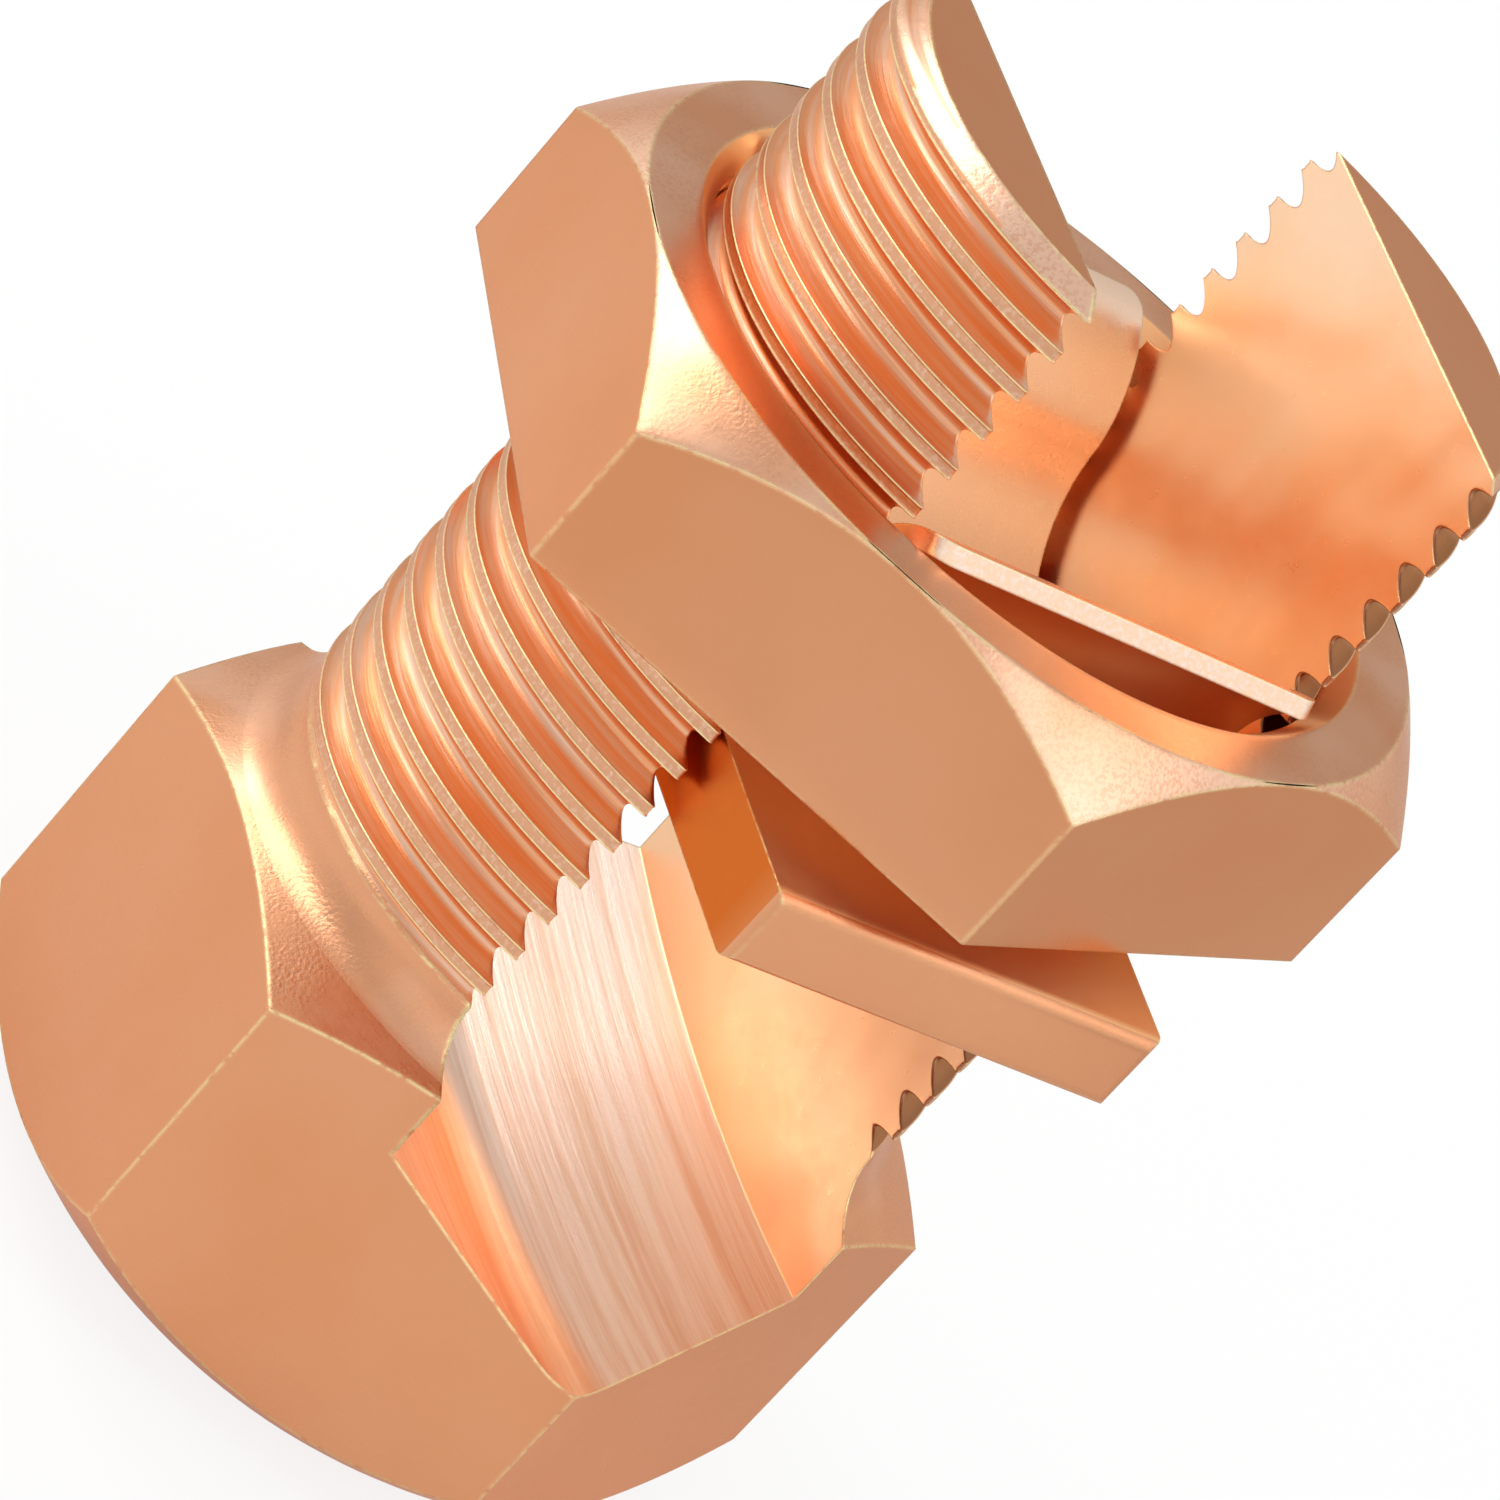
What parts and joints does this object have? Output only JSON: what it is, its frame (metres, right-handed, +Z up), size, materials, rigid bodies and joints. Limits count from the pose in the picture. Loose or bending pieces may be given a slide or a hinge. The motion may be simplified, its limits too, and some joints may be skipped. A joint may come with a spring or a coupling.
{
  "type": "split bolt connector",
  "caption": "Copper split bolt connector: a slotted, right-hand threaded bolt whose nut drives a captive pressure bar down onto the conductors.",
  "frame": {"origin": "centre of the flat under the bolt's hexagon head, on the bolt's axis", "axes": "+Z up along the bolt's axis towards the tips of its legs, +Y along the slot that the conductors lie in, +X across the slot"},
  "size_m": [0.0292, 0.0308, 0.0435],
  "materials": {
    "copper": "satin",
    "copper_nut": "satin",
    "copper_bar": "satin"
  },
  "bodies": {
    "bolt": {"split_bolt": "copper"},
    "bar": {"pressure_bar": "copper_bar"},
    "nut": {"hex_nut": "copper_nut"}
  },
  "joints": [
    {"name": "bar_travel", "type": "slide", "parent": "bolt", "child": "bar", "axis": [0, 0, 1], "range_m": [-0.01251, 0.00801]},
    {"name": "nut_turn", "type": "hinge", "parent": "bar", "child": "nut", "pos_m": [0, 0, 0.0317], "axis": [0, 0, 1], "range_deg": [-3000, 1920]}
  ],
  "couplings": [
    {"joint": "bar_travel", "follows": "nut_turn", "m_per_rad": 0.00023873}
  ]
}
